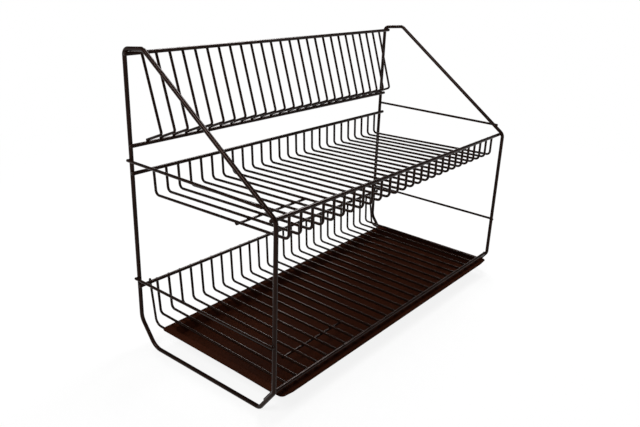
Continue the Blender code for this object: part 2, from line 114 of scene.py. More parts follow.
RUNNER_REAR_INSET, RUNNER_FRONT_INSET = 0.0145, 0.0115
RUNNER_LEAN, RUNNER_RISE = 0.0085, 0.0037
RUNNER_REAR_BEND, RUNNER_HOOK_BEND = 0.010, 0.003
HOOK_LENGTH, JOG_LEAD = 0.0095, 0.0016
HOOK_ANGLE = math.radians(45)       # round a frame's slant, from behind it to its inner side

TRAY_HEAD_CLEARANCE = 0.0006        # under the lower tie wire
RIM = 0.0016                        # width of the lip's rim, which hangs down at the pull edge
RIM_SIDES = (0.0017, 0.0014)        # insets of the profile's points on both sides of that width
RIM_ROUNDS = (0.0004, 0.0006)       # at the rim's bottom and top
UNDER_LIP_ROUND, THROAT_ROUND = 0.0008, 0.0012
PULL_RAMP = 0.004                   # over which the pull edge comes down at its ends
PROFILE_END = 0.0005                # of the tray's profile, before the tray's middle

# Half-axes of welds in weld spreads: along the line between the wires, then past the wires' skins
CROSS_DEPTH, BUTT_DEPTH, END_DEPTH, HOOK_DEPTH = 1.4, 1.6, 1.8, 1.2
END_HEIGHT, END_WIDTH, SIDE_RAIL_RUN = 1.4, 0.6, 1.6
CROSS_HEIGHT = 0.42                 # half-axis of a crossing weld across its rail, in diameters

TUBE_SIDES, WIRE_SIDES = 20, 12
FRAME_STEPS, BEND_STEPS, TRAY_STEPS = 20, 14, 8
LOOP_SPACING, WIRE_SPACING, RAIL_SPACING = 0.006, 0.012, 0.02   # of a wire's rings, at most
TIP_RINGS, TIP_OPENING = 7, 0.02    # the last ring's radius is a share of the wire's
DROP_RINGS, DROP_SIDES, DROP_OPENING = 9, 14, 0.02

# Shares of a finish's colour and changes of its roughness, where its noise is low and high
COAT_SHADES, COAT_GLOSS = (0.72, 1.35), np.array([-0.07, 0.08])
TRAY_SHADES, TRAY_GLOSS = (0.8, 1.22), np.array([-0.05, 0.06])
NOISE_RANGE = (0.3, 0.7)
DUST_RANGE, DUST_SHARES, DUST_SHADE = (0.66, 0.74), (0, 0.35), 2.6
MIX_FIRST, MIX_SECOND, MIX_RESULT = 6, 7, 2     # the colour sockets of a mix node

LIGHT_AIM = (0, 0, 0.1)
LIGHTS = (("key_light", (1.1, 0.3, 1.65), 0.6), ("rear_light", (1.25, 1.32, 1.4), 0.5),
          ("left_light", (-1.4, -0.06, 1.65), 0.7))    # places and lengths of the square's sides
FLOOR_DROP = 0.00005                # of the floor under the feet
FLOOR_REACH, FLOOR_WHITE = (0.35, 1.2), (0.87, 1)     # its glow to the camera, near and far
SKY_HEIGHTS = (0.14, 0.28)          # sines of the elevations where the sky is white and darkest
CAMERA_PLACE = (-0.68217, -0.39574, 0.45331)    # from the middle between the front posts' feet
CAMERA_TURNS = (0.899810992, 0.361372966, 0.037778296)     # bearing, drop and roll
SENSOR_WIDTH, FAR_CLIP = 36, 60
PHOTO_WIDTH, PHOTO_FOCAL = 640, 662.5029        # in pixels


class RackSizes(bpy.types.PropertyGroup):
    """Thicknesses of the rack's wires, of their coating and of the welds between them."""

    frame_wire: FloatProperty(
        name="Frame wire", description="Thickness of the two bent side frames",
        default=0.0045, min=0.001, unit="LENGTH", subtype="DISTANCE")
    rail_wire: FloatProperty(
        name="Rail wire", description="Thickness of the rails across the rack",
        default=0.0040, min=0.001, unit="LENGTH", subtype="DISTANCE")
    side_wire: FloatProperty(
        name="Side rail wire", description="Thickness of the rails on the outside of the frames",
        default=0.0030, min=0.001, unit="LENGTH", subtype="DISTANCE")
    thin_wire: FloatProperty(
        name="Thin wire",
        description="Thickness of the tie wires and runners, and the spacing of all thin wires",
        default=0.0025, min=0.001, unit="LENGTH", subtype="DISTANCE")
    row_wire: FloatProperty(
        name="Row wire", description="Thickness of the plate and basket wires",
        default=0.0028, min=0.001, unit="LENGTH", subtype="DISTANCE")
    coating: FloatProperty(
        name="Coating", description="Build-up of the coating all round each wire",
        default=0.00025, min=0, unit="LENGTH", subtype="DISTANCE")
    tip_swell: FloatProperty(
        name="Tip swell", description="How much thicker the coating makes a wire at its cut end",
        default=0.05, min=0, max=0.3, subtype="FACTOR")
    weld_spread: FloatProperty(
        name="Weld spread", description="How far the coating runs out around a weld, past the wire",
        default=0.0008, min=0.0001, unit="LENGTH", subtype="DISTANCE")


class TraySizes(bpy.types.PropertyGroup):
    """The drip tray's wall and roundings."""

    thickness: FloatProperty(
        name="Wall", description="Thickness of the tray's wall and lip",
        default=0.0014, min=0.0005, unit="LENGTH", subtype="DISTANCE")
    depth: FloatProperty(
        name="Depth", description="From the lip's top to the tray's underside",
        default=0.0135, min=0.005, unit="LENGTH", subtype="DISTANCE")
    lip_width: FloatProperty(
        name="Lip", description="Width of the lip that lies on the runners",
        default=0.00825, min=0.002, unit="LENGTH", subtype="DISTANCE")
    draft: FloatProperty(
        name="Draft", description="How far the wall leans inwards from the lip to the floor",
        default=0.005, min=0, unit="LENGTH", subtype="DISTANCE")
    lip_corner: FloatProperty(
        name="Lip corner", description="Radius of the lip's four corners",
        default=0.006, min=0.001, unit="LENGTH", subtype="DISTANCE")
    wall_corner: FloatProperty(
        name="Wall corner", description="Radius of the basin's four corners",
        default=0.012, min=0.001, unit="LENGTH", subtype="DISTANCE")
    floor_round: FloatProperty(
        name="Floor rounding", description="Radius between the inner wall and the floor",
        default=0.0032, min=0.0005, unit="LENGTH", subtype="DISTANCE")
    pull_drop: FloatProperty(
        name="Pull edge", description="How far the front of the lip hangs down to be pulled",
        default=0.0016, min=0, unit="LENGTH", subtype="DISTANCE")
    pull_inset: FloatProperty(
        name="Pull edge inset", description="From the tray's side edges to the pull edge",
        default=0.010, min=0, unit="LENGTH", subtype="DISTANCE")


class Finishes(bpy.types.PropertyGroup):
    """Colours and gloss of the two finishes."""

    wire_colour: FloatVectorProperty(
        name="Wire coating", description="Colour of the baked coating on the wires",
        default=(0.0095, 0.0042, 0.0027), min=0, max=1, size=3, subtype="COLOR")
    wire_roughness: FloatProperty(
        name="Wire roughness", description="Mean roughness of the wires' coating",
        default=0.2, min=0, max=1, subtype="FACTOR")
    tray_colour: FloatVectorProperty(
        name="Tray plastic", description="Colour of the moulded drip tray",
        default=(0.0225, 0.0062, 0.0029), min=0, max=1, size=3, subtype="COLOR")
    tray_roughness: FloatProperty(
        name="Tray roughness", description="Mean roughness of the drip tray",
        default=0.42, min=0, max=1, subtype="FACTOR")


class StageSizes(bpy.types.PropertyGroup):
    """The floor and the lights."""

    floor_size: FloatProperty(
        name="Floor", description="Length of the square floor's sides",
        default=24, min=1, unit="LENGTH", subtype="DISTANCE")
    key_power: FloatProperty(
        name="Key light", description="Power of the soft light over the right of the rack",
        default=26, min=0, unit="POWER")
    rear_power: FloatProperty(
        name="Rear light", description="Power of the soft light behind the rack on the right",
        default=16, min=0, unit="POWER")
    left_power: FloatProperty(
        name="Left light", description="Power of the soft light over the left of the rack",
        default=25, min=0, unit="POWER")
    overhead: FloatProperty(
        name="Overhead", description="Brightness of the surroundings straight above",
        default=0.14, min=0, max=1, subtype="FACTOR")


def unit(vectors):
    """Vectors of length one along the last axis."""
    return vectors / np.linalg.norm(vectors, axis=-1, keepdims=True)


def bent_path(corners, radii, closed=False, steps=BEND_STEPS):
    """Points of a wire's centre line through corners that are rounded to the radii.

    A bend's centre lies on the corner's bisector, at the radius over the cosine of half the turn.
    Its points are the centre plus the spokes to its two tangent points, weighted by the sines of
    the angles still to go and already gone, over the sine of the whole turn.
    """
    if closed:
        corners = np.concatenate([corners[-1:], corners, corners[:1]])
    corner = corners[1:-1]
    radii = np.broadcast_to(radii, len(corner))[:, None]
    to_before = unit(corners[:-2] - corner)
    to_after = unit(corners[2:] - corner)
    cosine = np.clip((to_before * to_after).sum(axis=1, keepdims=True), -1, 1)
    half_turn = (math.pi - np.arccos(cosine)) / 2
    centre = corner + unit(to_before + to_after) * radii / np.cos(half_turn)
    reach = radii * np.tan(half_turn)
    first = corner + to_before * reach - centre
    last = corner + to_after * reach - centre
    gone = 2 * half_turn * np.linspace(0, 1, steps + 1)
    to_go = 2 * half_turn - gone
    spokes = np.sin(to_go)[..., None] * first[:, None] + np.sin(gone)[..., None] * last[:, None]
    arcs = centre[:, None] + spokes / np.sin(2 * half_turn)[..., None]
    points = arcs.reshape(-1, corners.shape[1])
    return points if closed else np.concatenate([corners[:1], points, corners[-1:]])


def spaced(path, radius, closed, spacing):
    """The path with points no further apart than the spacing, and rings set for round tips.

    Near an open end the points lie at the radius times one minus the cosine of even angles, so
    that the tip's rings are evenly spread over a half sphere. Also returns each point's distance
    to an end.
    """
    if closed:
        path = np.concatenate([path, path[:1]])
    run = np.concatenate([[0], np.cumsum(np.linalg.norm(np.diff(path, axis=0), axis=1))])
    stops = [run, np.arange(0, run[-1], spacing)]
    if not closed:
        tip = radius * (1 - np.cos(np.linspace(0, math.pi / 2, TIP_RINGS)))
        stops += [tip, run[-1] - tip]
    stops = np.unique(np.round(np.concatenate(stops), 5))
    stops = stops[stops <= run[-1]]
    points = np.stack([np.interp(stops, run, column) for column in path.T], axis=1)
    if closed:
        return points[:-1], np.full(len(points) - 1, run[-1])
    return points, np.minimum(stops, run[-1] - stops)


def tube(path, radius, guide, closed=False, sides=WIRE_SIDES, spacing=WIRE_SPACING, swell=0):
    """A round wire about a path: its points, its four-sided faces and its end faces.

    A point is the path's, plus the radius times the cosine and the sine of the angle round the
    wire, along two directions square to the path, the first of them square to a guide as well.
    At an open end the radius follows a half sphere, and it is up to the swell thicker over the
    last few radii.
    """
    points, ends = spaced(np.asarray(path, float), radius, closed, spacing)
    ahead = np.roll(points, -1, axis=0) - points
    behind = np.roll(ahead, 1, axis=0)
    if not closed:
        ahead[-1] = ahead[-2]
        behind[0] = ahead[0]
    tangent = unit(unit(ahead) + unit(behind))
    across = unit(np.cross(tangent, np.asarray(guide, float)))
    beside = np.cross(tangent, across)
    thickness = np.full(len(points), radius)
    if not closed:
        dome = np.sqrt(np.clip(1 - (1 - np.minimum(ends / radius, 1)) ** 2, TIP_OPENING ** 2, 1))
        thickness = radius * dome * (1 + swell * np.exp(-(ends / (2 * radius)) ** 2))
    angle = np.arange(sides) * 2 * math.pi / sides
    ring = np.cos(angle)[:, None] * across[:, None] + np.sin(angle)[:, None] * beside[:, None]
    places = (points[:, None] + thickness[:, None, None] * ring).reshape(-1, 3)
    return places, *grid_faces(len(points), sides, closed)


def coated(path, diameter, sizes, guide, **settings):
    """An open wire with its coating, which swells a little at the cut ends."""
    return tube(path, diameter / 2 + sizes.coating, guide, swell=sizes.tip_swell, **settings)


def grid_faces(rows, sides, closed):
    """Four-sided faces between neighbouring rings, and the two rings that end an open stack."""
    row = np.arange(rows if closed else rows - 1)[:, None]
    side = np.arange(sides)[None]
    after, beyond = (row + 1) % rows, (side + 1) % sides
    quads = np.stack([row * sides + side, row * sides + beyond, after * sides + beyond,
                      after * sides + side], axis=-1).reshape(-1, 4)
    if closed:
        return quads, np.zeros((0, sides), int)
    loop = np.arange(sides)
    return quads, np.stack([loop[::-1], loop + (rows - 1) * sides])


def repeated(shape, offsets):
    """Copies of a shape, each moved by its own offset, as one shape."""
    places, quads, caps = shape
    offsets = np.asarray(offsets, float)
    start = (np.arange(len(offsets)) * len(places))[:, None, None]
    return ((places[None] + offsets[:, None]).reshape(-1, 3), (quads[None] + start).reshape(-1, 4),
            (caps[None] + start).reshape(-1, caps.shape[1]))


def new_piece(name, shapes, slot, body, *nodes):
    """Makes one object of shapes with set-backs for Y, and binds it to its slot and body."""
    places, faces, start = [], [], 0
    for points, quads, caps in shapes:
        places.append(points)
        faces += (quads + start).tolist() + (caps + start).tolist()
        start += len(points)
    mesh = bpy.data.meshes.new(name)
    mesh.from_pydata((np.concatenate(places) + (0, FRONT_Y, 0)).tolist(), [], faces)
    mesh.shade_smooth()
    mesh.materials.append(finish(slot))
    piece = bpy.data.objects.new(name, mesh)
    bpy.context.scene.collection.objects.link(piece)
    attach(piece, body)
    if nodes:
        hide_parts(*nodes)
    return piece


def wire_piece(name, shapes, *nodes):
    """A piece of coated wire on the rack."""
    return new_piece(name, shapes, "coated_wire", "rack", *nodes)


def side_view(points, x=0):
    """Set-backs and heights as points at one or several places across the rack."""
    points = np.atleast_2d(points)
    return np.column_stack([np.broadcast_to(x, len(points)), points])


def rack_box(node):
    """The lowest and highest corners of a node's box, with set-backs for Y."""
    return [np.array(corner) - (0, FRONT_Y, 0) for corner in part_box(node)]


def rail_place(node):
    """A straight rail's set-back and height."""
    return middle(node)[1:] - (FRONT_Y, 0)


def touch(first, second):
    """The distance between the middles of two welded wires of these diameters."""
    return (first + second) / 2 + AIR


def turned(vector, angle):
    """A set-back and height pair turned by an angle."""
    cosine, sine = math.cos(angle), math.sin(angle)
    return np.array([vector[0] * cosine - vector[1] * sine,
                     vector[0] * sine + vector[1] * cosine])


def tangent_run(start, centre, radius, side):
    """Where a run from a point touches a circle, and the run's direction.

    The run turns away from the line to the centre by the angle whose sine is the radius over the
    distance, and its length is the root of the distance squared less the radius squared.
    """
    across = centre - start
    distance = np.linalg.norm(across)
    direction = turned(across / distance, side * math.asin(radius / distance))
    return start + direction * math.sqrt(distance ** 2 - radius ** 2), direction


def wire_row(inset, shift=0):
    """The places across the rack of an even row of wires that ends an inset short of the frames."""
    return np.linspace(-1, 1, WIRE_COUNT) * (HALF_SPACING - inset) + shift


def lower_floor_height(set_back, sizes):
    """The height of the lower floor's wires, which rise to the rear by the tray's tilt."""
    front = rail_place("lower_front_rail")[0] + sizes.rail_wire / 2 + AIR
    return LOWER_FLOOR[0] + math.tan(TILT) * (set_back - front)


def welds(centres, normals, runs, half_sizes):
    """Drops of coating round welds, as closed ellipsoids.

    A point is the centre plus three half-axes, weighted by the sine of the polar angle times the
    cosine and the sine of the longitude, and by the cosine of the polar angle. The half-axes lie
    along the run of the weld, square to it, and along the line between the wires' middles.
    """
    centres = np.atleast_2d(centres)
    count = len(centres)
    normal = unit(np.broadcast_to(np.asarray(normals, float), (count, 3)))
    along = unit(np.broadcast_to(np.asarray(runs, float), (count, 3)))
    square = np.cross(normal, along)
    polar = np.linspace(math.pi - DROP_OPENING, DROP_OPENING, DROP_RINGS)[:, None]
    longitude = np.arange(DROP_SIDES) * 2 * math.pi / DROP_SIDES
    height = np.broadcast_to(np.cos(polar), (DROP_RINGS, DROP_SIDES))
    weights = np.stack([np.sin(polar) * np.cos(longitude) * half_sizes[0],
                        np.sin(polar) * np.sin(longitude) * half_sizes[1],
                        height * half_sizes[2]], axis=-1)
    axes = np.stack([along, square, normal], axis=1)
    places = np.einsum("rsk,nkc->nrsc", weights, axes).reshape(count, -1, 3)
    drop = (np.zeros((DROP_RINGS * DROP_SIDES, 3)), *grid_faces(DROP_RINGS, DROP_SIDES, False))
    _, quads, caps = repeated(drop, centres)
    return (centres[:, None] + places).reshape(-1, 3), quads, caps


def crossing_welds(xs, rail, wire, sizes, rail_size, wire_size):
    """Welds where a row of wires crosses a rail, halfway between the skins of the two."""
    offset = np.asarray(wire, float) - rail
    normal = unit(offset)
    gap = np.linalg.norm(offset) - (rail_size + wire_size) / 2
    seat = rail + normal * (rail_size / 2 + gap / 2)
    centres = np.column_stack([xs, np.tile(seat, (len(xs), 1))])
    half_sizes = (wire_size / 2 + sizes.weld_spread, CROSS_HEIGHT * rail_size,
                  CROSS_DEPTH * sizes.weld_spread)
    return welds(centres, (0, *normal), ACROSS, half_sizes)


def fill(node, inputs):
    """Links a node's inputs to sockets, or sets them to values."""
    for key, value in inputs.items():
        if isinstance(value, bpy.types.NodeSocket):
            node.id_data.links.new(value, node.inputs[key])
        else:
            node.inputs[key].default_value = value


def node_adder(tree):
    """A function that adds a node to the tree, makes its settings and fills its inputs."""
    def add(kind, inputs=(), **settings):
        node = tree.nodes.new(kind)
        for key, value in settings.items():
            setattr(node, key, value)
        fill(node, dict(inputs))
        return node

    return add


def node_material(name):
    """A new material, its shader and the function that adds its nodes."""
    made = bpy.data.materials.new(name)
    made.use_nodes = True
    return made, made.node_tree.nodes["Principled BSDF"], node_adder(made.node_tree)


def opaque(colour):
    """A colour as a socket takes it."""
    return (*colour, 1)


def noise(add, place, scale, detail, **more):
    """The value of a noise at a place."""
    inputs = {"Vector": place, "Scale": scale, "Detail": detail, **more}
    return add("ShaderNodeTexNoise", inputs).outputs["Fac"]


def bumped(add, height, strength, distance, **under):
    """The surface's direction over bumps, which may lie on other bumps."""
    inputs = {"Height": height, "Strength": strength, "Distance": distance, **under}
    return add("ShaderNodeBump", inputs).outputs["Normal"]


def blended(add, factor, first, second):
    """A colour that goes from the first to the second with the factor."""
    inputs = {"Factor": factor, MIX_FIRST: first, MIX_SECOND: second}
    return add("ShaderNodeMix", inputs, data_type="RGBA").outputs[MIX_RESULT]


def combined(add, operation, first, second):
    """The result of an operation on two numbers."""
    return add("ShaderNodeMath", {0: first, 1: second}, operation=operation).outputs[0]


def remapped(add, value, low, high, new_low, new_high):
    """A value carried from one range to another, and held at its ends."""
    node = add("ShaderNodeMapRange", {"Value": value, "From Min": low, "From Max": high,
                                      "To Min": new_low, "To Max": new_high})
    return node.outputs["Result"]


def coated_wire(name):
    """The black-brown baked coating: cloudy in tone, lightly pebbled and unevenly glossy."""
    finishes = bpy.context.scene.rack_finishes
    colour = np.array(finishes.wire_colour)
    rough = finishes.wire_roughness
    made, shader, add = node_material(name)
    place = add("ShaderNodeTexCoord").outputs["Object"]
    clouds = noise(add, place, scale=42, detail=4, Roughness=0.6)
    tone = remapped(add, clouds, *NOISE_RANGE, 0, 1)
    base = blended(add, tone, opaque(colour * COAT_SHADES[0]), opaque(colour * COAT_SHADES[1]))
    specks = noise(add, place, scale=900, detail=2)
    dust = remapped(add, specks, *DUST_RANGE, *DUST_SHARES)
    sag = bumped(add, noise(add, place, scale=90, detail=1), strength=0.14, distance=0.0006)
    pebble = noise(add, place, scale=620, detail=3, Roughness=0.5)
    fill(shader, {
        "Base Color": blended(add, dust, base, opaque(colour * DUST_SHADE)),
        "Roughness": remapped(add, clouds, *NOISE_RANGE, *(rough + COAT_GLOSS)),
        "Normal": bumped(add, pebble, strength=0.13, distance=0.0001, Normal=sag),
        "Metallic": 0,
        "Specular IOR Level": 0.075,
        "Specular Tint": (1, 0.64, 0.56, 1),
        "Coat Weight": 0.04,
        "Coat Roughness": 0.1,
    })
    return made


def tray_plastic(name):
    """Chocolate-brown moulded plastic: slow flow marks, fine moulding grain and a soft gloss."""
    finishes = bpy.context.scene.rack_finishes
    colour = np.array(finishes.tray_colour)
    rough = finishes.tray_roughness
    made, shader, add = node_material(name)
    place = add("ShaderNodeTexCoord").outputs["Object"]
    stretched = add("ShaderNodeMapping", {"Vector": place, "Scale": (6, 16, 16)}).outputs["Vector"]
    flow = noise(add, stretched, scale=1, detail=5, Distortion=0.6)
    tone = remapped(add, flow, *NOISE_RANGE, 0, 1)
    base = blended(add, tone, opaque(colour * TRAY_SHADES[0]), opaque(colour * TRAY_SHADES[1]))
    waves = bumped(add, noise(add, place, scale=22, detail=1), strength=0.15, distance=0.001)
    grain = noise(add, place, scale=1400, detail=2)
    fill(shader, {
        "Base Color": base,
        "Roughness": remapped(add, flow, *NOISE_RANGE, *(rough + TRAY_GLOSS)),
        "Normal": bumped(add, grain, strength=0.18, distance=0.00006, Normal=waves),
        "Metallic": 0,
        "Specular IOR Level": 0.001,
    })
    return made


FINISHES = {"coated_wire": coated_wire, "tray_plastic": tray_plastic}


def finish(slot):
    """The slot's material, which is made when it is first asked for."""
    name = slot + "_finish"
    return bpy.data.materials.get(name) or FINISHES[slot](name)


class RackPiece:
    """What the operators that add pieces have in common."""

    bl_options = {"REGISTER", "UNDO"}

    def execute(self, context):
        """Adds the pieces; anything that goes wrong is raised as an error."""
        self.add(context.scene.rack_sizes)
        return {"FINISHED"}


class AddSideFrames(RackPiece, bpy.types.Operator):
    """Add the two closed loops of thick bent wire, pressed flat a little where they stand."""

    bl_idname = "dish_rack.side_frames"
    bl_label = "Side frames"

    def add(self, sizes):
        """A loop in the rack's middle, pressed flat at the ground and copied to both sides."""
        path = bent_path(side_view(FRAME_CORNERS), FRAME_BENDS, closed=True, steps=FRAME_STEPS)
        radius = sizes.frame_wire / 2 + sizes.coating
        places, quads, caps = tube(path, radius, ACROSS, True, TUBE_SIDES, LOOP_SPACING)
        places[:, 2] = np.maximum(places[:, 2], 0)
        for side, x in (("left", -HALF_SPACING), ("right", HALF_SPACING)):
            shape = repeated((places, quads, caps), [(x, 0, 0)])
            wire_piece("frame_loop_" + side, [shape], "side_frame_" + side)


def straight_rail(node, diameter, sizes):
    """A straight rail across the rack, from end to end of its node's box."""
    low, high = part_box(node)
    set_back, height = rail_place(node)
    path = np.array([[low[0], set_back, height], [high[0], set_back, height]])
    return coated(path, diameter, sizes, UP, sides=TUBE_SIDES, spacing=RAIL_SPACING)


class AddCrossRails(RackPiece, bpy.types.Operator):
    """Add the straight rails across the rack: the plate rack's two and the baskets' front ones."""

    bl_idname = "dish_rack.cross_rails"
    bl_label = "Cross rails"

    def add(self, sizes):
        """One straight wire for each node."""
        for node in ("plate_top_rail", "plate_lower_rail", "upper_front_rail", "lower_front_rail"):
            wire_piece(node + "_wire", [straight_rail(node, sizes.rail_wire, sizes)], node)


class AddSideRails(RackPiece, bpy.types.Operator):
    """Add the four rails on the outer faces of the frames, welded to the posts."""

    bl_idname = "dish_rack.side_rails"
    bl_label = "Side rails"

    def add(self, sizes):
        """Each runs from the front bottom to the rear top of its node's box."""
        radius = sizes.side_wire / 2
        for level in ("upper", "lower"):
            for side in ("left", "right"):
                node = level + "_side_rail_" + side
                low, high = rack_box(node)
                x = (low[0] + high[0]) / 2
                path = np.array([[x, low[1], low[2] + radius], [x, high[1], high[2] - radius]])
                if node == "upper_side_rail_right":
                    path[0] += unit(path[0] - path[1]) * RIGHT_RAIL_OVERRUN
                shape = coated(path, sizes.side_wire, sizes, ACROSS, spacing=RAIL_SPACING)
                wire_piece(node + "_wire", [shape], node)


def plate_profile(sizes):
    """The plate wire's corners from top to foot and its two welds' seats, seen from the side."""
    top = rail_place("plate_top_rail")
    foot = rail_place("plate_lower_rail")
    reach = touch(sizes.rail_wire, sizes.thin_wire)
    apex = foot + (-PLATE_REACH, PLATE_RISE)
    upper, up = tangent_run(apex, top, reach, -1)
    lower, down = tangent_run(apex, foot, reach, 1)
    ends = np.array([upper + up * PLATE_TOP_OVERRUN, apex, lower + down * PLATE_FOOT_OVERRUN])
    return ends, upper, lower


class AddPlateWires(RackPiece, bpy.types.Operator):
    """Add the twenty-six bent wires that part the plates."""

    bl_idname = "dish_rack.plate_wires"
    bl_label = "Plate wires"

    def add(self, sizes):
        """One bent wire, copied to the middle of each node."""
        ends, _, _ = plate_profile(sizes)
        path = bent_path(side_view(ends), PLATE_BEND)
        shape = coated(path, sizes.row_wire, sizes, ACROSS)
        for number in range(1, WIRE_COUNT + 1):
            node = "plate_wire_%02d" % number
            wire_piece(node + "_bent", [repeated(shape, [(middle(node)[0], 0, 0)])], node)


def basket_rear(sizes):
    """The set-back of the baskets' upright wires behind the rear rails."""
    return REAR_RAIL_Y + (sizes.rail_wire + sizes.thin_wire) / 2 - WELD_BITE


def rear_rail(height, sizes):
    """A rear rail that its basket's wires are welded to, as long as the plate rack's rails."""
    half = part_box("plate_lower_rail")[1][0]
    path = side_view((REAR_RAIL_Y, height)) + np.array([[-half, 0, 0], [half, 0, 0]])
    return coated(path, sizes.rail_wire, sizes, UP, sides=TUBE_SIDES, spacing=RAIL_SPACING)


class AddUpperBasket(RackPiece, bpy.types.Operator):
    """Add the upper basket: U-shaped wires on their rear rail, and the short wire under them."""

    bl_idname = "dish_rack.upper_basket"
    bl_label = "Upper basket"

    def add(self, sizes):
        """One wire, copied to the places of the row, with its rear rail."""
        rear = basket_rear(sizes)
        rail = rail_place("upper_front_rail")
        front = rail[0] + touch(sizes.rail_wire, sizes.thin_wire)
        corners = np.array([[rear, UPPER_RAIL_HEIGHT + sizes.thin_wire / 2], [rear, UPPER_FLOOR[1]],
                            [front, UPPER_FLOOR[0]], [front, rail[1] + UPPER_TOP_RISE]])
        path = bent_path(side_view(corners, UPPER_LEAN), BASKET_BEND)
        shape = coated(path, sizes.row_wire, sizes, ACROSS)
        row = wire_row(UPPER_INSET, UPPER_SHIFT)
        wires = repeated(shape, row[:, None] * ACROSS)
        wire_piece("upper_basket_row", [wires, rear_rail(UPPER_RAIL_HEIGHT, sizes)],
                   "upper_basket_wires")
        tie = straight_rail("upper_tie_wire", sizes.thin_wire, sizes)
        wire_piece("upper_tie", [tie], "upper_tie_wire")


class AddLowerBasket(RackPiece, bpy.types.Operator):
    """Add the lower basket: L-shaped wires on their rear rail, and the short wire under them."""

    bl_idname = "dish_rack.lower_basket"
    bl_label = "Lower basket"

    def add(self, sizes):
        """One wire, copied to the places of the row, with its rear rail."""
        rear = basket_rear(sizes)
        front = rail_place("lower_front_rail")[0] + sizes.rail_wire / 2 - WELD_BITE
        corners = np.array([[rear, LOWER_RAIL_HEIGHT + sizes.thin_wire / 2], [rear, LOWER_FLOOR[1]],
                            [front, lower_floor_height(front, sizes)]])
        path = bent_path(side_view(corners, LOWER_LEAN), BASKET_BEND)
        shape = coated(path, sizes.row_wire, sizes, ACROSS)
        wires = repeated(shape, wire_row(LOWER_INSET)[:, None] * ACROSS)
        wire_piece("lower_basket_row", [wires, rear_rail(LOWER_RAIL_HEIGHT, sizes)],
                   "lower_basket_wires")
        tie = straight_rail("lower_tie_wire", sizes.thin_wire, sizes)
        wire_piece("lower_tie", [tie], "lower_tie_wire")


def runner_drop(sizes, tray):
    """How far the runners' middle lies under the lower floor wires' middle."""
    return 2 * (sizes.thin_wire + AIR) + TRAY_HEAD_CLEARANCE + tray.thickness


def runner_places(sizes, tray):
    """The runner's corners on the right side, and the direction of its hook."""
    drop = runner_drop(sizes, tray)
    reach = touch(sizes.rail_wire, sizes.thin_wire)
    foot_y = REAR_RAIL_Y + reach - RUNNER_LEAN
    foot = np.array([foot_y, lower_floor_height(foot_y, sizes) - drop])
    rail = np.array([REAR_RAIL_Y, LOWER_RAIL_HEIGHT])
    seat, up = tangent_run(foot, rail, reach, -1)
    top = seat + up * RUNNER_RISE
    slant = unit(FRONT_FOOT - FRONT_KINK)
    spacing = touch(sizes.frame_wire, sizes.thin_wire)
    behind = FRONT_KINK + turned(slant, math.pi / 2) * spacing * math.cos(HOOK_ANGLE)
    fall = behind[1] - lower_floor_height(behind[0], sizes) + drop
    hook = behind + slant * fall / (math.tan(TILT) * slant[0] - slant[1])
    jog_y = hook[0] + JOG_LEAD
    tip = hook + slant * HOOK_LENGTH
    rear_x, front_x = HALF_SPACING - RUNNER_REAR_INSET, HALF_SPACING - RUNNER_FRONT_INSET
    hook_x = HALF_SPACING - spacing * math.sin(HOOK_ANGLE)
    corners = np.array([
        [rear_x, *top], [rear_x, *foot],
        [front_x, jog_y, lower_floor_height(jog_y, sizes) - drop],
        [hook_x, *hook], [hook_x, *tip],
    ])
    return corners, seat, slant


class AddTrayRunners(RackPiece, bpy.types.Operator):
    """Add the two wires that hang from the lower rear rail, carry the tray and hook on in front."""

    bl_idname = "dish_rack.tray_runners"
    bl_label = "Tray runners"

    def add(self, sizes):
        """The right runner's corners, and for the left one their mirror image."""
        corners, _, _ = runner_places(sizes, bpy.context.scene.rack_tray)
        bends = (RUNNER_REAR_BEND, RUNNER_HOOK_BEND, RUNNER_HOOK_BEND)
        for side, sign in (("left", -1), ("right", 1)):
            path = bent_path(corners * (sign, 1, 1), bends)
            shape = coated(path, sizes.thin_wire, sizes, (sign, 1, -1))
            wire_piece("runner_" + side, [shape], "tray_runner_" + side)


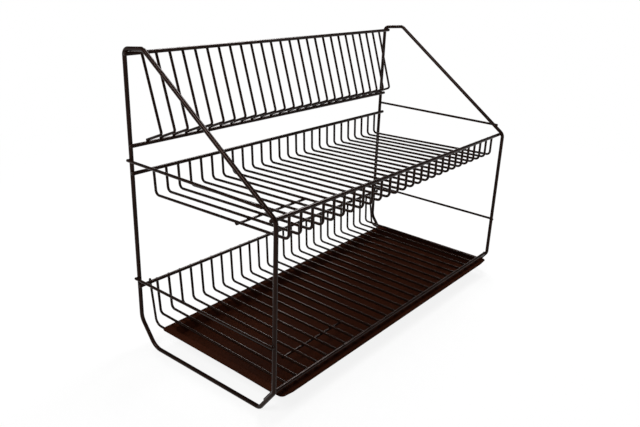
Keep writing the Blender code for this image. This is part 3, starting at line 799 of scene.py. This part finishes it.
class AddWelds(RackPiece, bpy.types.Operator):
    """Add the drops of coating that fill the corners round every weld."""

    bl_idname = "dish_rack.welds"
    bl_label = "Welds"

    def add(self, sizes):
        """Rows of drops between the wires' skins, as one piece."""
        rail, wire, spread = sizes.rail_wire, sizes.thin_wire, sizes.weld_spread
        plate_xs = np.array([middle("plate_wire_%02d" % n)[0] for n in range(1, WIRE_COUNT + 1)])
        upper_xs, lower_xs = wire_row(UPPER_INSET, UPPER_SHIFT), wire_row(LOWER_INSET)
        rear = basket_rear(sizes)
        _, upper_seat, lower_seat = plate_profile(sizes)
        top, foot = rail_place("plate_top_rail"), rail_place("plate_lower_rail")
        front, low_front = rail_place("upper_front_rail"), rail_place("lower_front_rail")
        front_wire = front[0] + touch(rail, wire)
        rows = [
            crossing_welds(plate_xs, top, upper_seat, sizes, rail, wire),
            crossing_welds(plate_xs, foot, lower_seat, sizes, rail, wire),
            crossing_welds(upper_xs + UPPER_LEAN[0], np.array([REAR_RAIL_Y, UPPER_RAIL_HEIGHT]),
                           (rear, UPPER_RAIL_HEIGHT), sizes, rail, wire),
            crossing_welds(upper_xs, front, (front_wire, front[1]), sizes, rail, wire),
            crossing_welds(lower_xs + LOWER_LEAN[0], np.array([REAR_RAIL_Y, LOWER_RAIL_HEIGHT]),
                           (rear, LOWER_RAIL_HEIGHT), sizes, rail, wire),
        ]
        above = (0, touch(wire, wire))
        for xs, node in ((upper_xs[UPPER_TIE_WIRES], "upper_tie_wire"),
                         (lower_xs[LOWER_TIE_WIRES], "lower_tie_wire")):
            tie = rail_place(node)
            rows.append(crossing_welds(xs, tie, tie + above, sizes, wire, wire))
        butt = low_front[0] + rail / 2
        height = lower_floor_height(butt, sizes)
        seats = np.column_stack([lower_xs, np.tile((butt, height), (WIRE_COUNT, 1))])
        half = (wire / 2 + spread, wire / 2 + spread, BUTT_DEPTH * spread)
        rows.append(welds(seats, REARWARD, ACROSS, half))
        rows += self.rail_end_welds(sizes, top, foot, front, low_front)
        rows += self.side_rail_welds(sizes)
        rows += self.runner_welds(sizes)
        wire_piece("weld_drops", rows)

    def rail_end_welds(self, sizes, top, foot, front, low_front):
        """Welds between the rails' ends and the frames."""
        post, rail, spread = sizes.frame_wire, sizes.rail_wire, sizes.weld_spread
        ends = np.array([-HALF_SPACING, HALF_SPACING])
        rear = np.array([FRAME_DEPTH, 0])
        rows = []
        for place in (foot, (REAR_RAIL_Y, UPPER_RAIL_HEIGHT), (REAR_RAIL_Y, LOWER_RAIL_HEIGHT)):
            level = np.array([0, place[1]])
            rows.append(crossing_welds(ends, np.array(place), rear + level, sizes, rail, post))
        for place, corner in ((top, TOP_REAR), (front, FRONT_BEND)):
            outward = unit(corner - place)
            seat = place + outward * touch(rail, post)
            rows.append(crossing_welds(ends, place, seat, sizes, rail, post))
        inner = HALF_SPACING - post / 2
        seats = np.array([[-inner, *low_front], [inner, *low_front]])
        half = (rail / 2 + END_HEIGHT * spread, rail / 2 + END_WIDTH * spread, END_DEPTH * spread)
        rows.append(welds(seats, ACROSS, UP, half))
        return rows

    def side_rail_welds(self, sizes):
        """Welds between the side rails and the posts and slopes."""
        radius, spread = sizes.side_wire / 2, sizes.weld_spread
        half = (radius + SIDE_RAIL_RUN * spread, radius + spread, CROSS_DEPTH * spread)
        x = HALF_SPACING + sizes.frame_wire / 2 + AIR / 2
        slope = TOP_FRONT - FRONT_BEND
        rows = []
        for level in ("upper", "lower"):
            low, high = rack_box(level + "_side_rail_right")
            ends = low[2] + radius, high[2] - radius
            front = slope[0] * (ends[0] - FRONT_BEND[1]) / slope[1] if level == "upper" else 0
            share = (np.array([front, FRAME_DEPTH]) - low[1]) / (high[1] - low[1])
            seats = ends[0] + (ends[1] - ends[0]) * share
            for sign in (-1, 1):
                centres = np.array([[sign * x, front, seats[0]], [sign * x, FRAME_DEPTH, seats[1]]])
                rows.append(welds(centres, ACROSS, REARWARD, half))
        return rows

    def runner_welds(self, sizes):
        """Welds at the runners' tops and along their hooks."""
        corners, seat, slant = runner_places(sizes, bpy.context.scene.rack_tray)
        xs = np.array([-corners[0, 0], corners[0, 0]])
        rail = np.array([REAR_RAIL_Y, LOWER_RAIL_HEIGHT])
        rows = [crossing_welds(xs, rail, seat, sizes, sizes.rail_wire, sizes.thin_wire)]
        forward = -turned(slant, math.pi / 2) * math.cos(HOOK_ANGLE)
        half = (HOOK_LENGTH / 3, sizes.thin_wire / 2 + sizes.weld_spread,
                HOOK_DEPTH * sizes.weld_spread)
        for sign in (-1, 1):
            to_frame = np.array([sign * math.sin(HOOK_ANGLE), *forward])
            hook = (corners[3] + corners[4]) / 2 * (sign, 1, 1)
            centre = hook + to_frame * (sizes.thin_wire + AIR) / 2
            rows.append(welds(centre, to_frame, (0, *slant), half))
        return rows


def tray_outline(corner_steps=12, side_steps=40):
    """Signs and directions that carry any rounded rectangle, counter-clockwise from the right.

    A point of it is the sign times the half size less the corner radius, plus the direction times
    that radius. The signs run evenly along the straight sides, and the direction turns at the
    corners.
    """
    quarter = np.repeat(np.arange(4), corner_steps + 1)
    angle = (quarter + np.tile(np.linspace(0, 1, corner_steps + 1), 4)) * math.pi / 2
    signs = np.stack([np.where(np.isin(quarter, (0, 3)), 1, -1),
                      np.where(np.isin(quarter, (0, 1)), 1, -1)], axis=1)
    turns = np.stack([np.cos(angle), np.sin(angle)], axis=1)
    both = np.concatenate([signs, turns], axis=1).reshape(4, corner_steps + 1, 4)
    share = np.linspace(0, 1, side_steps + 1)[1:-1, None]
    sides = both[:, -1][:, None] * (1 - share) + np.roll(both[:, 0], -1, axis=0)[:, None] * share
    return np.concatenate([both, sides], axis=1).reshape(-1, 4)


def tray_profile(tray, half_length):
    """Insets and heights from the underside's middle over the lip to the floor's middle."""
    thick, lip, depth = tray.thickness, tray.lip_width, tray.depth
    foot = lip + tray.draft
    end = half_length - PROFILE_END
    under = np.array([[end, -depth], [foot, -depth], [lip, -thick], [RIM_SIDES[0], -thick]])
    over = np.array([[RIM_SIDES[1], -thick], [0, -thick], [0, 0], [lip + thick, 0],
                     [foot + thick, thick - depth], [end, thick - depth]])
    return np.concatenate([
        bent_path(under, (tray.floor_round, UNDER_LIP_ROUND), steps=TRAY_STEPS),
        bent_path(over, (*RIM_ROUNDS, THROAT_ROUND, tray.floor_round), steps=TRAY_STEPS),
    ])


class AddDripTray(bpy.types.Operator):
    """Add the drip tray, moulded in one piece with a lip all round and a pull edge in front."""

    bl_idname = "dish_rack.drip_tray"
    bl_label = "Drip tray"
    bl_options = {"REGISTER", "UNDO"}

    def execute(self, context):
        """Carries the profile round a rounded rectangle, hangs the pull edge and tilts it all."""
        tray = context.scene.rack_tray
        low, high = rack_box("drip_tray")
        half = np.array([high[0] - low[0], (high[1] - low[1]) / math.cos(TILT)]) / 2
        profile = tray_profile(tray, half[1])
        inset, level = profile.T
        corner = np.interp(inset, [0, tray.lip_width], [tray.lip_corner, tray.wall_corner])
        corner = np.minimum(corner, half[1] - inset)[:, None, None]
        outline = tray_outline()
        spans = (half[None] - inset[:, None])[:, None] - corner
        flat = outline[None, :, :2] * spans + outline[None, :, 2:] * corner
        x, y = flat[..., 0], flat[..., 1]
        hanging = (inset[:, None] < RIM) & (level[:, None] < -tray.thickness / 2)
        in_front = np.clip((half[0] - tray.pull_inset - np.abs(x)) / PULL_RAMP, 0, 1)
        in_front *= y < RIM - half[1]
        z = level[:, None] - np.where(hanging, tray.pull_drop * in_front, 0)
        middle_y, top = (low[1] + high[1]) / 2, high[2] - half[1] * math.sin(TILT)
        places = np.stack([x, middle_y + y * math.cos(TILT) - z * math.sin(TILT),
                           top + y * math.sin(TILT) + z * math.cos(TILT)], axis=-1)
        shape = (places.reshape(-1, 3), *grid_faces(len(profile), len(outline), False))
        new_piece("moulded_tray", [shape], "tray_plastic", "tray", "drip_tray")
        return {"FINISHED"}


class AddStage(bpy.types.Operator):
    """Add the white floor, the soft lights, the sky and the camera."""

    bl_idname = "dish_rack.stage"
    bl_label = "Stage"
    bl_options = {"REGISTER", "UNDO"}

    def execute(self, context):
        """Makes each part of the stage in turn."""
        stage = context.scene.rack_stage
        self.add_floor(stage)
        self.add_sky(context.scene, stage.overhead)
        powers = (stage.key_power, stage.rear_power, stage.left_power)
        for (name, place, size), power in zip(LIGHTS, powers):
            self.add_light(name, place, size, power)
        self.add_camera(context.scene)
        context.scene.view_settings.view_transform = "Standard"
        return {"FINISHED"}

    def add_floor(self, stage):
        """A square floor with soft shadows, nearly white to the camera and whiter far out."""
        half = stage.floor_size / 2
        mesh = bpy.data.meshes.new("floor")
        corners = np.array([[-half, -half, 0], [half, -half, 0], [half, half, 0], [-half, half, 0]])
        mesh.from_pydata((corners - (0, 0, FLOOR_DROP)).tolist(), [], [(0, 1, 2, 3)])
        made, shader, add = node_material("pale_floor")
        fill(shader, {"Base Color": (0.9, 0.9, 0.9, 1), "Roughness": 0.7,
                      "Specular IOR Level": 0.2})
        place = add("ShaderNodeTexCoord").outputs["Object"]
        reach = add("ShaderNodeVectorMath", {0: place}, operation="LENGTH").outputs["Value"]
        white = remapped(add, reach, *FLOOR_REACH, *FLOOR_WHITE)
        seen = add("ShaderNodeLightPath").outputs
        either = combined(add, "MAXIMUM", seen["Is Camera Ray"], seen["Is Glossy Ray"])
        any_of = combined(add, "MAXIMUM", either, seen["Is Transmission Ray"])
        share = combined(add, "MULTIPLY", white, any_of)
        glow = add("ShaderNodeEmission", {"Color": (1, 1, 1, 1), "Strength": 1}).outputs[0]
        mix = add("ShaderNodeMixShader", {0: share, 1: shader.outputs[0], 2: glow}).outputs[0]
        fill(made.node_tree.nodes["Material Output"], {"Surface": mix})
        mesh.materials.append(made)
        floor = bpy.data.objects.new("floor", mesh)
        bpy.context.scene.collection.objects.link(floor)

    def add_sky(self, scene, overhead):
        """Surroundings that are white round the horizon and darken to the overhead level."""
        world = bpy.data.worlds.new("white_surround")
        world.use_nodes = True
        add = node_adder(world.node_tree)
        place = add("ShaderNodeTexCoord").outputs["Object"]
        height = add("ShaderNodeSeparateXYZ", {"Vector": place}).outputs["Z"]
        fill(world.node_tree.nodes["Background"], {
            "Color": (1, 1, 1, 1), "Strength": remapped(add, height, *SKY_HEIGHTS, 1, overhead)})
        scene.world = world

    def add_light(self, name, place, size, power):
        """A square soft light that faces the rack."""
        data = bpy.data.lights.new(name, "AREA")
        data.shape = "RECTANGLE"
        data.size = data.size_y = size
        data.energy = power
        light = bpy.data.objects.new(name, data)
        light.location = place
        aim = Vector(LIGHT_AIM) - Vector(place)
        light.rotation_euler = aim.to_track_quat("-Z", "Y").to_euler()
        bpy.context.scene.collection.objects.link(light)

    def add_camera(self, scene):
        """The camera at the photograph's place: bearing, drop and roll in radians."""
        bearing, drop, roll = CAMERA_TURNS
        ahead = Vector((math.sin(bearing) * math.cos(drop), math.cos(bearing) * math.cos(drop),
                        -math.sin(drop)))
        level = ahead.cross(Vector((0, 0, 1))).normalized()
        above = level.cross(ahead)
        right = level * math.cos(roll) + above * math.sin(roll)
        up = above * math.cos(roll) - level * math.sin(roll)
        data = bpy.data.cameras.new("photo_camera")
        data.sensor_width = SENSOR_WIDTH
        data.lens = SENSOR_WIDTH * PHOTO_FOCAL / PHOTO_WIDTH
        data.clip_end = FAR_CLIP
        camera = bpy.data.objects.new("photo_camera", data)
        camera.matrix_world = Matrix((right, up, -ahead)).transposed().to_4x4()
        camera.location = np.add(CAMERA_PLACE, (0, FRONT_Y, FLAT_RADIUS))
        scene.collection.objects.link(camera)
        scene.camera = camera


PIECES = (AddSideFrames, AddCrossRails, AddSideRails, AddPlateWires, AddUpperBasket, AddLowerBasket,
          AddTrayRunners, AddWelds, AddDripTray, AddStage)


class RackPanel(bpy.types.Panel):
    """The rack's sizes, finishes and steps in the 3D view's sidebar."""

    bl_idname = "VIEW3D_PT_dish_rack"
    bl_label = "Dish Rack"
    bl_space_type = "VIEW_3D"
    bl_region_type = "UI"
    bl_category = "Dish Rack"

    def draw(self, context):
        """Lists every setting and every step."""
        for name in ("rack_sizes", "rack_tray", "rack_finishes", "rack_stage"):
            group = getattr(context.scene, name)
            box = self.layout.box()
            for key in group.bl_rna.properties.keys():
                if key not in ("rna_type", "name"):
                    box.prop(group, key)
        column = self.layout.column(align=True)
        for step in PIECES:
            column.operator(step.bl_idname)


GROUPS = {"rack_sizes": RackSizes, "rack_tray": TraySizes, "rack_finishes": Finishes,
          "rack_stage": StageSizes}
CLASSES = (*GROUPS.values(), *PIECES, RackPanel)


def register():
    """Registers the classes and hangs the settings on the scene."""
    for each in CLASSES:
        bpy.utils.register_class(each)
    for name, group in GROUPS.items():
        setattr(bpy.types.Scene, name, PointerProperty(type=group))


def unregister():
    """Takes the settings and the classes away again."""
    for name in GROUPS:
        delattr(bpy.types.Scene, name)
    for each in reversed(CLASSES):
        bpy.utils.unregister_class(each)


def main():
    """Makes every piece in order."""
    register()
    bpy.ops.dish_rack.side_frames()
    bpy.ops.dish_rack.cross_rails()
    bpy.ops.dish_rack.side_rails()
    bpy.ops.dish_rack.plate_wires()
    bpy.ops.dish_rack.upper_basket()
    bpy.ops.dish_rack.lower_basket()
    bpy.ops.dish_rack.tray_runners()
    bpy.ops.dish_rack.welds()
    bpy.ops.dish_rack.drip_tray()
    bpy.ops.dish_rack.stage()


if __name__ == "__main__":
    main()
